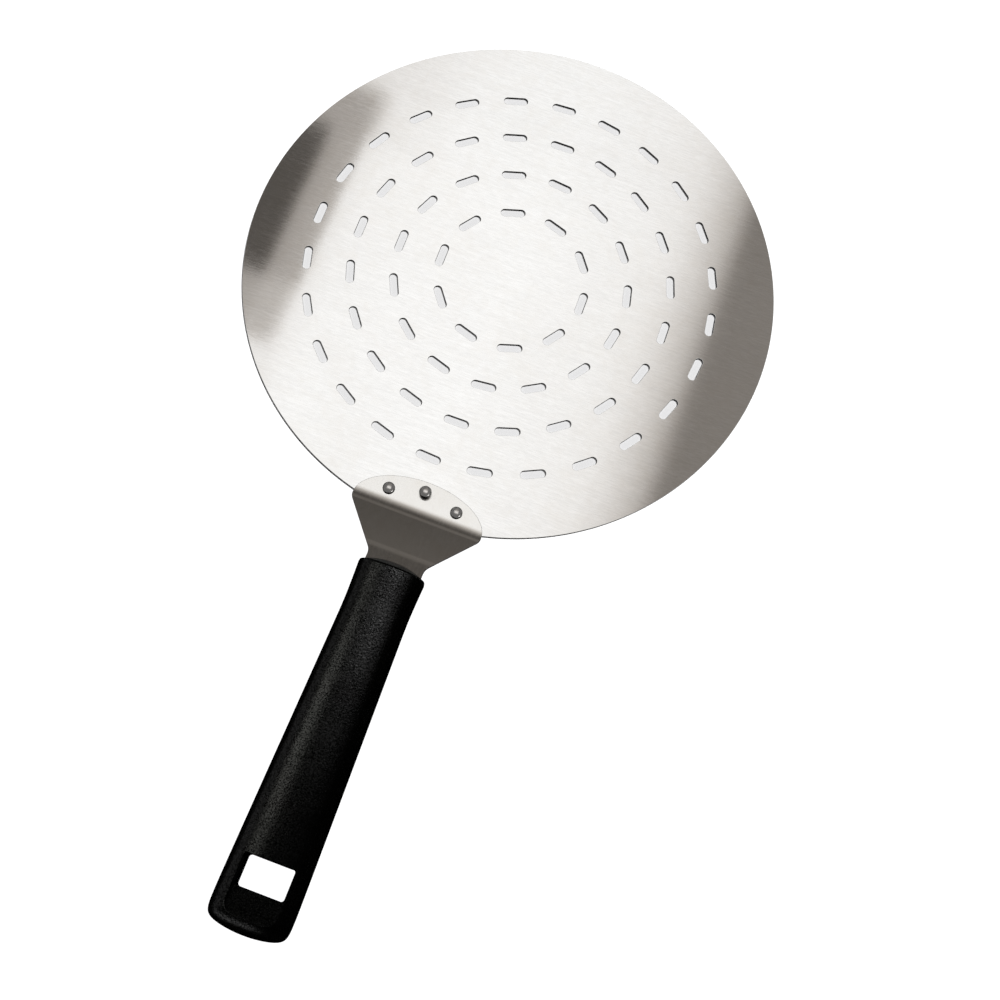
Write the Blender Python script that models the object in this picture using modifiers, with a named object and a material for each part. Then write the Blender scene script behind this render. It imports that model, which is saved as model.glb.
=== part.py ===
"""Round perforated pizza peel: steel blade, stamped neck, three rivets and a moulded grip.

Frame: the origin is the centre of the blade's underside, +Z is up and the grip runs along -Y.
The peel is one rigid body. Lengths are in metres.
"""

import math

import bmesh
import bpy
from mathutils import Vector

MM = 0.001
FIT_GAP = 0.3 * MM  # clearance between pieces that touch

# Blade: a flat disc with rings of round-ended slots that lie along the rings.
BLADE_RADIUS = 127.0 * MM
BLADE_THICKNESS = 1.0 * MM
RIM_STEPS = 120
FIRST_RING_RADIUS = 35.3 * MM
RING_PITCH = 20.67 * MM
RING_COUNT = 4
FIRST_RING_SLOTS = 10
SLOTS_ADDED_PER_RING = 5
SLOT_TURN = math.radians(18.6)  # turn of the slot pattern about Z
SLOT_LENGTH = 11.9 * MM
SLOT_WIDTH = 3.9 * MM
SLOT_END_STEPS = 4

# Neck: one sheet, flat over the blade, then bent up to the grip.
NECK_THICKNESS = 1.5 * MM
FLANGE_HALF_WIDTH = 30.7 * MM
FLANGE_ARC_CENTRE_Y = -125.0 * MM
FLANGE_ARC_HEIGHT = 16.0 * MM
FLANGE_ARC_STEPS = 14
SHOULDER_Y = -126.75 * MM
SHOULDER_RADIUS = 5.0 * MM
THROAT_HALF_WIDTH = 13.0 * MM
THROAT_Y = -148.9 * MM
THROAT_RADIUS = 6.0 * MM
TANG_SHOULDER_Y = -153.4 * MM
TANG_SHOULDER_RADIUS = 0.5 * MM
TANG_HALF_WIDTH = 8.5 * MM
TANG_END_Y = -222.0 * MM
TANG_END_RADIUS = 2.5 * MM
CORNER_STEPS = 5
RISER_ANGLE = math.radians(20.2)
THROAT_ANGLE = math.radians(15.0)
FLANGE_BEND_Y = -121.0 * MM
FLANGE_BEND_RADIUS = 20.0 * MM
RISER_LENGTH = 17.35 * MM
THROAT_BEND_RADIUS = 38.0 * MM
THROAT_LENGTH = 4.7 * MM
TANG_BEND_RADIUS = 30.0 * MM
BEND_STEPS = 5

# Rivets: low domes at the sides, a taller button in the middle, flush countersunk tails.
SIDE_RIVET_X = 16.2 * MM
SIDE_RIVET_Y = -117.8 * MM
MIDDLE_RIVET_Y = -114.2 * MM
RIVET_HEAD_RADIUS = 2.8 * MM
RIVET_DOME_HEIGHT = 1.4 * MM
SIDE_RIVET_BUTTON_HEIGHT = 0.2 * MM
MIDDLE_RIVET_BUTTON_HEIGHT = 2.2 * MM
RIVET_SHANK_RADIUS = 1.6 * MM
RIVET_TAIL_RADIUS = 2.3 * MM
RIVET_TAIL_HEIGHT = 0.6 * MM
RIVET_TAIL_RECESS = 0.05 * MM
RIVET_STEPS = 20
DOME_STEPS = 4

# Grip and cap, modelled along -Y from the middle of the grip's front rim.
GRIP_FRONT = Vector((0.0, -154.9 * MM, 10.2 * MM))
GRIP_RISE = math.radians(5.0)
GRIP_LENGTH = 157.4 * MM
GRIP_HALF_WIDTHS = (
    (0.0, 15.3 * MM),
    (9.0 * MM, 14.9 * MM),
    (18.0 * MM, 14.65 * MM),
    (30.0 * MM, 14.8 * MM),
    (GRIP_LENGTH, 17.5 * MM),
)
GRIP_HALF_HEIGHTS = (
    (0.0, 10.0 * MM),
    (18.0 * MM, 9.6 * MM),
    (70.0 * MM, 9.8 * MM),
    (GRIP_LENGTH, 9.4 * MM),
)
GRIP_SECTION_POWER = 2.5
GRIP_END_ARC_RADIUS = 54.0 * MM
GRIP_END_CORNER_POWER = 5.0
GRIP_END_ROUNDING = 9.0 * MM
GRIP_BODY_STATIONS = 14
GRIP_END_STATIONS = 8
SECTION_STEPS = 32
CAP_DOME_HEIGHT = 4.2 * MM
CAP_DOME_STATIONS = 5
SPIGOT_HALF_WIDTH = 11.5 * MM
SPIGOT_HALF_HEIGHT = 6.5 * MM
SPIGOT_LENGTH = 8.0 * MM

# Hanging window through the grip's end, in a shallow pocket on the upper side.
WINDOW_FRONT = 128.2 * MM
WINDOW_LENGTH = 12.8 * MM
WINDOW_HALF_WIDTH = 10.4 * MM
WINDOW_CORNER_RADIUS = 1.3 * MM
POCKET_LENGTH = 23.4 * MM
POCKET_HALF_WIDTH = 11.0 * MM
POCKET_REAR_RADIUS = 5.0 * MM
POCKET_FLOOR_HEIGHT = 5.4 * MM
CUT_MARGIN = 5.0 * MM  # how far a cutter runs past the surface it opens


# ---------------------------------------------------------------- scene helpers

def clear_scene():
    for item in list(bpy.data.objects):
        bpy.data.objects.remove(item, do_unlink=True)


def make_collection(name):
    collection = bpy.data.collections.new(name)
    bpy.context.scene.collection.children.link(collection)
    return collection


def make_material(name, colour, roughness, metallic):
    material = bpy.data.materials.new(name)
    material.use_nodes = True
    shader = material.node_tree.nodes["Principled BSDF"]
    shader.inputs["Base Color"].default_value = (*colour, 1.0)
    shader.inputs["Roughness"].default_value = roughness
    shader.inputs["Metallic"].default_value = metallic
    return material


def brushed_steel():
    return make_material("brushed_steel", (0.66, 0.65, 0.63), 0.32, 1.0)


def polished_steel():
    return make_material("polished_steel", (0.42, 0.41, 0.40), 0.15, 1.0)


def grained_black_plastic():
    return make_material("grained_black_plastic", (0.018, 0.018, 0.017), 0.6, 0.0)


def smooth_black_plastic():
    return make_material("smooth_black_plastic", (0.012, 0.013, 0.010), 0.38, 0.0)


def finish_part(part, collection, material):
    """Put a finished piece in the object's collection with its material and smooth shading."""
    collection.objects.link(part)
    part.data.materials.clear()
    part.data.materials.append(material)
    part.data.shade_smooth()
    part.data.set_sharp_from_angle(angle=math.radians(35))
    return part


def as_cutter(cutter, collection):
    collection.objects.link(cutter)
    cutter.hide_render = True
    cutter.display_type = "WIRE"
    return cutter


def boolean(target, cutter, operation="DIFFERENCE"):
    modifier = target.modifiers.new(cutter.name, "BOOLEAN")
    modifier.operation = operation
    modifier.object = cutter


# ---------------------------------------------------------------- outlines

def arc_points(centre, radius, start, end, steps):
    """Points from angle start to angle end on a circle, both ends included."""
    angles = (start + (end - start) * step / steps for step in range(steps + 1))
    return [(centre[0] + radius * math.cos(a), centre[1] + radius * math.sin(a)) for a in angles]


def rounded_corner(before, corner, after, radius, steps):
    """An arc of the given radius that is tangent to both lines of a corner."""
    corner = Vector(corner)
    towards_before = (Vector(before) - corner).normalized()
    towards_after = (Vector(after) - corner).normalized()
    half_angle = towards_before.angle(towards_after) / 2
    middle = (towards_before + towards_after).normalized()
    centre = corner + middle * radius / math.sin(half_angle)
    start = corner + towards_before * radius / math.tan(half_angle) - centre
    end = corner + towards_after * radius / math.tan(half_angle) - centre
    turn = math.remainder(math.atan2(end.y, end.x) - math.atan2(start.y, start.x), math.tau)
    start_angle = math.atan2(start.y, start.x)
    return arc_points(centre, radius, start_angle, start_angle + turn, steps)


def mirrored_outline(right_side):
    """A closed outline from its right side, which starts and ends away from the line x = 0."""
    return right_side + [(-x, y) for x, y in reversed(right_side)]


def plate_from_outlines(name, outlines, thickness, middle_height):
    """A flat plate: the first outline is its edge and the others are holes."""
    curve = bpy.data.curves.new(name, "CURVE")
    curve.dimensions = "2D"
    curve.fill_mode = "BOTH"
    curve.extrude = thickness / 2
    for outline in outlines:
        spline = curve.splines.new("POLY")
        spline.points.add(len(outline) - 1)
        for point, (x, y) in zip(spline.points, outline):
            point.co = (x, y, 0.0, 1.0)
        spline.use_cyclic_u = True
    guide = bpy.data.objects.new(name + "_outline", curve)
    guide.location.z = middle_height
    bpy.context.scene.collection.objects.link(guide)
    bpy.context.view_layer.update()
    evaluated = guide.evaluated_get(bpy.context.evaluated_depsgraph_get())
    plate = bpy.data.objects.new(name, bpy.data.meshes.new_from_object(evaluated))
    plate.matrix_world = guide.matrix_world
    weld_and_orient(plate.data)
    bpy.data.objects.remove(guide, do_unlink=True)
    return plate


def weld_and_orient(mesh):
    """Join a plate's caps to its walls and turn every face outward."""
    mesh_editor = bmesh.new()
    mesh_editor.from_mesh(mesh)
    bmesh.ops.remove_doubles(mesh_editor, verts=mesh_editor.verts, dist=0.001 * MM)
    bmesh.ops.recalc_face_normals(mesh_editor, faces=mesh_editor.faces)
    mesh_editor.to_mesh(mesh)
    mesh_editor.free()


# ---------------------------------------------------------------- blade

def slot_outline(ring_radius, angle):
    """One round-ended slot, tangent to its ring; the angle is measured clockwise from +Y."""
    centre = Vector((ring_radius * math.sin(angle), ring_radius * math.cos(angle)))
    end_radius = SLOT_WIDTH / 2
    reach = SLOT_LENGTH / 2 - end_radius
    outline = []
    for side in (1, -1):
        end_centre = centre + Vector((math.cos(angle), -math.sin(angle))) * reach * side
        middle = -angle + (0.0 if side > 0 else math.pi)
        quarter = math.pi / 2
        outline += arc_points(end_centre, end_radius, middle - quarter, middle + quarter, SLOT_END_STEPS)
    return outline


def slot_outlines():
    outlines = []
    for ring in range(RING_COUNT):
        radius = FIRST_RING_RADIUS + ring * RING_PITCH
        count = FIRST_RING_SLOTS + ring * SLOTS_ADDED_PER_RING
        for place in range(count):
            outlines.append(slot_outline(radius, math.tau * place / count - SLOT_TURN))
    return outlines


def make_blade(parts, rivet_cutters):
    rim = arc_points((0.0, 0.0), BLADE_RADIUS, 0.0, math.tau, RIM_STEPS)[:-1]
    outlines = [rim] + slot_outlines()
    blade = plate_from_outlines("blade", outlines, BLADE_THICKNESS, BLADE_THICKNESS / 2)
    for cutter in rivet_cutters:
        boolean(blade, cutter)
    return finish_part(blade, parts, brushed_steel())


# ---------------------------------------------------------------- neck

def add_straight(path, slope, length):
    path.append(path[-1] + Vector((0.0, -math.cos(slope), math.sin(slope))) * length)


def add_bend(path, start_slope, end_slope, radius):
    """Continue a path along an arc that changes its slope."""
    turn = end_slope - start_slope
    chord = 2 * radius * math.sin(abs(turn) / BEND_STEPS / 2)
    for step in range(BEND_STEPS):
        add_straight(path, start_slope + turn * (step + 0.5) / BEND_STEPS, chord)


def neck_side_path():
    """The sheet's middle line in the YZ plane, from the blade to past the tang's end."""
    start_y = FLANGE_ARC_CENTRE_Y + FLANGE_ARC_HEIGHT + CUT_MARGIN
    height = BLADE_THICKNESS + FIT_GAP + NECK_THICKNESS / 2
    path = [Vector((0.0, start_y, height)), Vector((0.0, FLANGE_BEND_Y, height))]
    add_bend(path, 0.0, RISER_ANGLE, FLANGE_BEND_RADIUS)
    add_straight(path, RISER_ANGLE, RISER_LENGTH)
    add_bend(path, RISER_ANGLE, THROAT_ANGLE, THROAT_BEND_RADIUS)
    add_straight(path, THROAT_ANGLE, THROAT_LENGTH)
    add_bend(path, THROAT_ANGLE, GRIP_RISE, TANG_BEND_RADIUS)
    remaining = path[-1].y - (TANG_END_Y - CUT_MARGIN)
    add_straight(path, GRIP_RISE, remaining / math.cos(GRIP_RISE))
    return path


def bent_sheet(name, thickness):
    """The neck's sheet before it is cut to its outline: an open surface made solid."""
    path = neck_side_path()
    half_width = Vector((FLANGE_HALF_WIDTH + CUT_MARGIN, 0.0, 0.0))
    points = [point + half_width * side for point in path for side in (-1, 1)]
    faces = [(row, row + 1, row + 3, row + 2) for row in range(0, len(points) - 2, 2)]
    mesh = bpy.data.meshes.new(name)
    mesh.from_pydata(points, [], faces)
    sheet = bpy.data.objects.new(name, mesh)
    solidify = sheet.modifiers.new("thickness", "SOLIDIFY")
    solidify.thickness = thickness
    solidify.offset = 0.0
    solidify.use_even_offset = True
    return sheet


def neck_outline(growth):
    """The neck seen from above; growth moves its lower edges outward for a clearance."""
    throat = THROAT_HALF_WIDTH + growth
    tang = TANG_HALF_WIDTH + growth
    shoulder_y = TANG_SHOULDER_Y - growth
    end_y = TANG_END_Y - growth
    corners = (
        ((FLANGE_HALF_WIDTH, SHOULDER_Y), SHOULDER_RADIUS),
        ((throat, THROAT_Y), THROAT_RADIUS),
        ((throat, shoulder_y), TANG_SHOULDER_RADIUS),
        ((tang, shoulder_y), TANG_SHOULDER_RADIUS),
        ((tang, end_y), TANG_END_RADIUS),
    )
    centre_y = FLANGE_ARC_CENTRE_Y
    right_side = []
    for step in range(1, FLANGE_ARC_STEPS):
        angle = math.pi / 2 * (1 - step / FLANGE_ARC_STEPS)
        x = FLANGE_HALF_WIDTH * math.cos(angle)
        right_side.append((x, centre_y + FLANGE_ARC_HEIGHT * math.sin(angle)))
    arc_end = (FLANGE_HALF_WIDTH, centre_y)
    places = [arc_end] + [place for place, radius in corners] + [(0.0, end_y)]
    for index, (place, radius) in enumerate(corners):
        before = places[index]
        after = places[index + 2]
        right_side += rounded_corner(before, place, after, radius, CORNER_STEPS)
    top = (0.0, centre_y + FLANGE_ARC_HEIGHT)
    return [top] + mirrored_outline(right_side)


def cut_to_outline(sheet, growth, cutters):
    prism_height = 80.0 * MM
    outline = neck_outline(growth)
    prism = plate_from_outlines(sheet.name + "_prism", [outline], prism_height, prism_height / 4)
    boolean(sheet, as_cutter(prism, cutters), "INTERSECT")


def make_neck(parts, cutters, rivet_cutters):
    neck = bent_sheet("neck_bracket", NECK_THICKNESS)
    cut_to_outline(neck, 0.0, cutters)
    for cutter in rivet_cutters:
        boolean(neck, cutter)
    return finish_part(neck, parts, brushed_steel())


def make_tang_clearance(cutters):
    """The neck's own shape with the fit gap around it, which opens the cap and the grip."""
    clearance = bent_sheet("tang_clearance", NECK_THICKNESS + 2 * FIT_GAP)
    cut_to_outline(clearance, FIT_GAP, cutters)
    return as_cutter(clearance, cutters)


# ---------------------------------------------------------------- rivets

def turned_piece(name, profile, place):
    """A solid turned about Z from an outer profile that runs from top to bottom."""
    mesh = bpy.data.meshes.new(name)
    edges = [(index, index + 1) for index in range(len(profile) - 1)]
    mesh.from_pydata([(radius, 0.0, height) for radius, height in profile], edges, [])
    piece = bpy.data.objects.new(name, mesh)
    piece.location = (place[0], place[1], 0.0)
    screw = piece.modifiers.new("turn", "SCREW")
    screw.steps = RIVET_STEPS
    screw.render_steps = RIVET_STEPS
    screw.use_merge_vertices = True
    screw.merge_threshold = 0.01 * MM
    return piece


def rivet_profile(button_height):
    """Dome, straight button, shank and the flared tail that fills the blade's countersink."""
    seat = BLADE_THICKNESS + NECK_THICKNESS + 2 * FIT_GAP
    dome_base = seat + button_height
    profile = []
    for step in range(DOME_STEPS + 1):
        angle = math.pi / 2 * step / DOME_STEPS
        height = dome_base + RIVET_DOME_HEIGHT * math.cos(angle)
        profile.append((RIVET_HEAD_RADIUS * math.sin(angle), height))
    profile += [
        (RIVET_HEAD_RADIUS, seat),
        (RIVET_SHANK_RADIUS, seat),
        (RIVET_SHANK_RADIUS, RIVET_TAIL_HEIGHT),
        (RIVET_TAIL_RADIUS, RIVET_TAIL_RECESS),
        (0.0, RIVET_TAIL_RECESS),
    ]
    return profile


def rivet_hole_profile():
    """A hole through both sheets with a countersink in the blade's underside."""
    top = BLADE_THICKNESS + NECK_THICKNESS + CUT_MARGIN
    flare = (RIVET_TAIL_RADIUS - RIVET_SHANK_RADIUS) / (RIVET_TAIL_HEIGHT - RIVET_TAIL_RECESS)
    hole_radius = RIVET_SHANK_RADIUS + FIT_GAP
    mouth_radius = hole_radius + flare * (RIVET_TAIL_HEIGHT + CUT_MARGIN)
    return [
        (0.0, top),
        (hole_radius, top),
        (hole_radius, RIVET_TAIL_HEIGHT),
        (mouth_radius, -CUT_MARGIN),
        (0.0, -CUT_MARGIN),
    ]


def make_rivets(parts, cutters):
    """Make the three rivets and return the cutters for their holes."""
    material = polished_steel()
    layout = (
        ("rivet_left", (-SIDE_RIVET_X, SIDE_RIVET_Y), SIDE_RIVET_BUTTON_HEIGHT),
        ("rivet_middle", (0.0, MIDDLE_RIVET_Y), MIDDLE_RIVET_BUTTON_HEIGHT),
        ("rivet_right", (SIDE_RIVET_X, SIDE_RIVET_Y), SIDE_RIVET_BUTTON_HEIGHT),
    )
    holes = []
    for name, place, button_height in layout:
        finish_part(turned_piece(name, rivet_profile(button_height), place), parts, material)
        hole = turned_piece(name + "_hole", rivet_hole_profile(), place)
        holes.append(as_cutter(hole, cutters))
    return holes


# ---------------------------------------------------------------- grip and cap

def curve_value(table, distance):
    """A value read from (distance, value) pairs along a smooth curve through them."""
    count = len(table)
    segment = 0
    while segment < count - 2 and distance > table[segment + 1][0]:
        segment += 1
    start, low = table[segment]
    end, high = table[segment + 1]
    length = end - start
    share = max(0.0, min(1.0, (distance - start) / length))
    rise_in = table_slope(table, segment) * length
    rise_out = table_slope(table, segment + 1) * length
    blend = share * share * (3 - 2 * share)
    value = low + (high - low) * blend
    value += rise_in * share * (1 - share) ** 2
    value -= rise_out * (1 - share) * share ** 2
    return value


def table_slope(table, index):
    """The slope at one pair: across its neighbours, or towards the only one at an end."""
    before = table[max(0, index - 1)]
    after = table[min(len(table) - 1, index + 1)]
    return (after[1] - before[1]) / (after[0] - before[0])


def section(distance, half_width, half_height):
    """One cross-section of the grip: a superellipse at a distance along the grip's axis."""
    power = 2 / GRIP_SECTION_POWER
    ring = []
    for step in range(SECTION_STEPS):
        angle = math.tau * step / SECTION_STEPS
        across = math.copysign(abs(math.cos(angle)) ** power, math.cos(angle))
        up = math.copysign(abs(math.sin(angle)) ** power, math.sin(angle))
        ring.append(Vector((half_width * across, -distance, half_height * up)))
    return ring


def loft(name, rings):
    """A closed solid through a row of rings with the same number of points."""
    mesh_editor = bmesh.new()
    rows = [[mesh_editor.verts.new(point) for point in ring] for ring in rings]
    count = len(rings[0])
    for row, following in zip(rows, rows[1:]):
        for index in range(count):
            after = (index + 1) % count
            mesh_editor.faces.new((row[index], row[after], following[after], following[index]))
    mesh_editor.faces.new(rows[0])
    mesh_editor.faces.new(rows[-1])
    bmesh.ops.recalc_face_normals(mesh_editor, faces=mesh_editor.faces)
    mesh = bpy.data.meshes.new(name)
    mesh_editor.to_mesh(mesh)
    mesh_editor.free()
    return bpy.data.objects.new(name, mesh)


def grip_half_width(distance):
    """The side line, rounded off into the shallow arc that closes the far end."""
    side = curve_value(GRIP_HALF_WIDTHS, distance)
    ahead = distance - (GRIP_LENGTH - GRIP_END_ARC_RADIUS)
    if ahead <= 0:
        return side
    arc = math.sqrt(max(0.0, GRIP_END_ARC_RADIUS ** 2 - ahead ** 2)) + 0.01 * MM
    power = GRIP_END_CORNER_POWER
    return (side ** -power + arc ** -power) ** (-1 / power)


def grip_half_height(distance):
    """The side view's half height, then a rounded fall to the far end."""
    height = curve_value(GRIP_HALF_HEIGHTS, distance)
    inside = (distance - (GRIP_LENGTH - GRIP_END_ROUNDING)) / GRIP_END_ROUNDING
    if inside <= 0:
        return height
    return height * math.sqrt(max(0.0, 1 - inside ** 3)) + 0.01 * MM


def grip_stations():
    """Distances of the sections along the grip, closer together at the rounded end."""
    body_end = GRIP_LENGTH - GRIP_END_ROUNDING
    body = [body_end * step / GRIP_BODY_STATIONS for step in range(GRIP_BODY_STATIONS)]
    end = []
    for step in range(GRIP_END_STATIONS + 1):
        angle = math.pi / 2 * step / GRIP_END_STATIONS
        end.append(body_end + (GRIP_END_ROUNDING - 0.05 * MM) * math.sin(angle))
    return body + end


def end_block(name, length, half_width, front_radius, rear_radius, low, high):
    """An upright rounded block cutter that starts at the hanging window's front."""
    front_y = -WINDOW_FRONT
    rear_y = front_y - length
    right_side = rounded_corner(
        (0.0, front_y), (half_width, front_y), (half_width, rear_y), front_radius, CORNER_STEPS
    )
    right_side += rounded_corner(
        (half_width, front_y), (half_width, rear_y), (0.0, rear_y), rear_radius, CORNER_STEPS
    )
    outline = mirrored_outline(right_side)
    return plate_from_outlines(name, [outline], high - low, (high + low) / 2)


def make_window_cutters(cutters):
    """The hanging window goes right through; the pocket around it is open to the top."""
    deep = -2 * CUT_MARGIN - POCKET_FLOOR_HEIGHT
    high = 4 * CUT_MARGIN
    window = end_block(
        "hanging_window", WINDOW_LENGTH, WINDOW_HALF_WIDTH,
        WINDOW_CORNER_RADIUS, WINDOW_CORNER_RADIUS, deep, high
    )
    pocket = end_block(
        "window_pocket", POCKET_LENGTH, POCKET_HALF_WIDTH,
        WINDOW_CORNER_RADIUS, POCKET_REAR_RADIUS, POCKET_FLOOR_HEIGHT, high
    )
    return [as_cutter(window, cutters), as_cutter(pocket, cutters)]


def spigot_rings(front, rear, growth):
    """Two sections of the plug that joins the cap to the grip."""
    half_width = SPIGOT_HALF_WIDTH + growth
    half_height = SPIGOT_HALF_HEIGHT + growth
    return [section(front, half_width, half_height), section(rear, half_width, half_height)]


def make_grip(parts, cutters, axis, tang_clearance):
    rings = []
    for distance in grip_stations():
        rings.append(section(distance, grip_half_width(distance), grip_half_height(distance)))
    grip = loft("grip", rings)
    grip.parent = axis
    socket = loft("spigot_socket", spigot_rings(-CUT_MARGIN, SPIGOT_LENGTH + FIT_GAP, FIT_GAP))
    grip_cutters = [as_cutter(socket, cutters)] + make_window_cutters(cutters)
    for cutter in grip_cutters:
        cutter.parent = axis
        boolean(grip, cutter)
    boolean(grip, tang_clearance)
    return finish_part(grip, parts, grained_black_plastic())


def make_cap(parts, axis, tang_clearance):
    """The smooth domed plug in the grip's front end, slotted for the neck's tang."""
    rings = []
    rim_width = grip_half_width(0.0)
    rim_height = grip_half_height(0.0)
    for step in range(CAP_DOME_STATIONS + 1):
        size = (step + 0.5) / (CAP_DOME_STATIONS + 0.5)
        ahead = FIT_GAP + (CAP_DOME_HEIGHT - FIT_GAP) * (1 - size * size)
        rings.append(section(-ahead, rim_width * size, rim_height * size))
    rings += spigot_rings(-FIT_GAP, SPIGOT_LENGTH, 0.0)
    cap = loft("front_cap", rings)
    cap.parent = axis
    boolean(cap, tang_clearance)
    return finish_part(cap, parts, smooth_black_plastic())


def make_grip_axis(parts):
    """An empty at the grip's front rim whose -Y axis runs down the middle of the grip."""
    axis = bpy.data.objects.new("grip_axis", None)
    axis.location = GRIP_FRONT
    axis.rotation_euler.x = -GRIP_RISE
    parts.objects.link(axis)
    return axis


def main():
    clear_scene()
    parts = make_collection("pizza_peel")
    cutters = make_collection("cutters")
    rivet_cutters = make_rivets(parts, cutters)
    make_blade(parts, rivet_cutters)
    make_neck(parts, cutters, rivet_cutters)
    axis = make_grip_axis(parts)
    tang_clearance = make_tang_clearance(cutters)
    make_grip(parts, cutters, axis, tang_clearance)
    make_cap(parts, axis, tang_clearance)


main()
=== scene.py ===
"""Pizza peel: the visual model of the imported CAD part, with its studio, floor and camera.

Lengths are in metres, in the CAD frame: the origin is the centre of the blade's underside, +Z is
up and the grip runs along -Y.
"""

import math

import bmesh
import bpy
from mathutils import Matrix, Vector


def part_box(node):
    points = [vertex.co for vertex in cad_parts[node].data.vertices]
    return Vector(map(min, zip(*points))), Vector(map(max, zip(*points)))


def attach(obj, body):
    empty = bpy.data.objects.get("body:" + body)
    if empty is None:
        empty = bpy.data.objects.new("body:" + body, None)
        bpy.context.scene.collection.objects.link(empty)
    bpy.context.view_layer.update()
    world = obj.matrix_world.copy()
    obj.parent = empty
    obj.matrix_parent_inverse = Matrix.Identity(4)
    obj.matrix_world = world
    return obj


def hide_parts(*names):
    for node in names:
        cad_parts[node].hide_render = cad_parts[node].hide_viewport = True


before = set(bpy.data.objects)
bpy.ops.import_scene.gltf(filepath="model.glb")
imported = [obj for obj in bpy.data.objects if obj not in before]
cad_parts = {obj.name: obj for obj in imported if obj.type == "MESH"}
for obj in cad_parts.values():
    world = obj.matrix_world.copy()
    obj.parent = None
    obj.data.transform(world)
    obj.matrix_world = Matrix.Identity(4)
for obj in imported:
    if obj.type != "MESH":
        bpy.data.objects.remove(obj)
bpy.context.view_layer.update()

MM = 0.001
BODY = "root"

# Meshes
WELD_DISTANCE = 0.002 * MM
COARSE_WELD_DISTANCE = 0.02 * MM
CAP_WELD_DISTANCE = 0.01 * MM
FLAT_JOIN_ANGLE = math.radians(0.05)
LEVEL_FACE_LIMIT = 0.9999  # least height of the normal of a face that counts as level
FLAT_MAP_SCALE = 4.0  # flat map units per metre
HOLE_STEPS = 40
THIN = 0.01 * MM

# Blade
SLOT_RINGS = ((35.3, 10), (55.97, 15), (76.64, 20), (97.31, 25))  # radius in mm, slots
SLOT_TURN = math.radians(18.6)
SLOT_LENGTH = 11.9 * MM
SLOT_WIDTH = 3.9 * MM
SLOT_END_STEPS = 14
RIM_STEPS = 360
BLADE_EDGE = 0.14 * MM
RIVET_HOLE_RADIUS = 2.6 * MM

# Neck
NECK_THICKNESS = 1.5 * MM
FLANGE_HALF_WIDTH = 30.7 * MM
FLANGE_ARC_CENTRE_Y = -125.0 * MM
FLANGE_ARC_HEIGHT = 16.0 * MM
FLANGE_ARC_STEPS = 40
SHOULDER_Y = -126.75 * MM
SHOULDER_RADIUS = 5.0 * MM
THROAT_HALF_WIDTH = 13.0 * MM
THROAT_Y = -148.9 * MM
THROAT_RADIUS = 6.0 * MM
TANG_SHOULDER_Y = -153.4 * MM
TANG_SHOULDER_RADIUS = 0.5 * MM
TANG_SHOULDER_FALL = 0.05 * MM
TANG_HALF_WIDTH = 8.5 * MM
TANG_END_Y = -222.0 * MM
TANG_END_RADIUS = 2.5 * MM
RISER_ANGLE = math.radians(20.2)
THROAT_ANGLE = math.radians(15.0)
FLANGE_BEND_Y = -121.0 * MM
FLANGE_BEND_RADIUS = 20.0 * MM
RISER_LENGTH = 17.35 * MM
THROAT_BEND_RADIUS = 38.0 * MM
THROAT_LENGTH = 4.7 * MM
TANG_BEND_RADIUS = 30.0 * MM
BEND_STEPS = 14
CORNER_STEPS = 12
NECK_HOLE_RADIUS = 1.9 * MM
NECK_EDGE = 0.16 * MM

# Rivets
RIVET_NODES = ("rivet_left", "rivet_middle", "rivet_right")
RIVET_DOME_HEIGHT = 1.4 * MM
RIVET_EDGE = 0.12 * MM
RIVET_TAIL_LIFT = 0.05 * MM
RIVET_TAIL_CHAMFER = 0.1 * MM
RIVET_SHANK_RADIUS = 1.6 * MM
RIVET_TAIL_RADIUS = 2.3 * MM
RIVET_TAIL_HEIGHT = 0.6 * MM
RIVET_STEPS = 56
DOME_STEPS = 14

# Grip and cap
GRIP_FRONT = Vector((0.0, -154.9 * MM, 10.2 * MM))
GRIP_RISE = math.radians(5.0)
GRIP_LENGTH = 157.4 * MM
GRIP_HALF_WIDTHS = (
    (0.0, 15.3 * MM),
    (9.0 * MM, 14.9 * MM),
    (18.0 * MM, 14.65 * MM),
    (30.0 * MM, 14.8 * MM),
    (GRIP_LENGTH, 17.5 * MM),
)
GRIP_HALF_HEIGHTS = (
    (0.0, 10.0 * MM),
    (18.0 * MM, 9.6 * MM),
    (70.0 * MM, 9.8 * MM),
    (GRIP_LENGTH, 9.4 * MM),
)
GRIP_SECTION_POWER = 2.5
GRIP_END_ARC_RADIUS = 54.0 * MM
GRIP_END_CORNER_POWER = 5.0
GRIP_END_ROUNDING = 9.0 * MM
GRIP_BODY_STATIONS = 44
GRIP_END_STATIONS = 18
GRIP_FRONT_ROUND = 0.6 * MM
GRIP_FRONT_STATIONS = 4
SECTION_STEPS = 112
FIT_GAP = 0.3 * MM
CAP_DOME_HEIGHT = 4.2 * MM
CAP_DOME_STATIONS = 18
CAP_TIP_SHARE = 0.35  # size of the dome's first ring, as a share of one step
CAP_RIM_INSET = 0.2 * MM
SPIGOT_HALF_WIDTH = 11.5 * MM
SPIGOT_HALF_HEIGHT = 6.5 * MM
SPIGOT_LENGTH = 8.0 * MM
WINDOW_FRONT = 128.2 * MM
WINDOW_LENGTH = 12.8 * MM
WINDOW_HALF_WIDTH = 10.4 * MM
WINDOW_CORNER_RADIUS = 1.3 * MM
POCKET_LENGTH = 23.4 * MM
POCKET_HALF_WIDTH = 11.0 * MM
POCKET_REAR_RADIUS = 5.0 * MM
POCKET_FLOOR_HEIGHT = 5.4 * MM
CUT_MARGIN = 5.0 * MM
CUT_REACH = 20.0 * MM
GRIP_EDGE = 0.35 * MM
GRIP_EDGE_STEPS = 3
GRIP_EDGE_ANGLE = math.radians(40.0)


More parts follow.
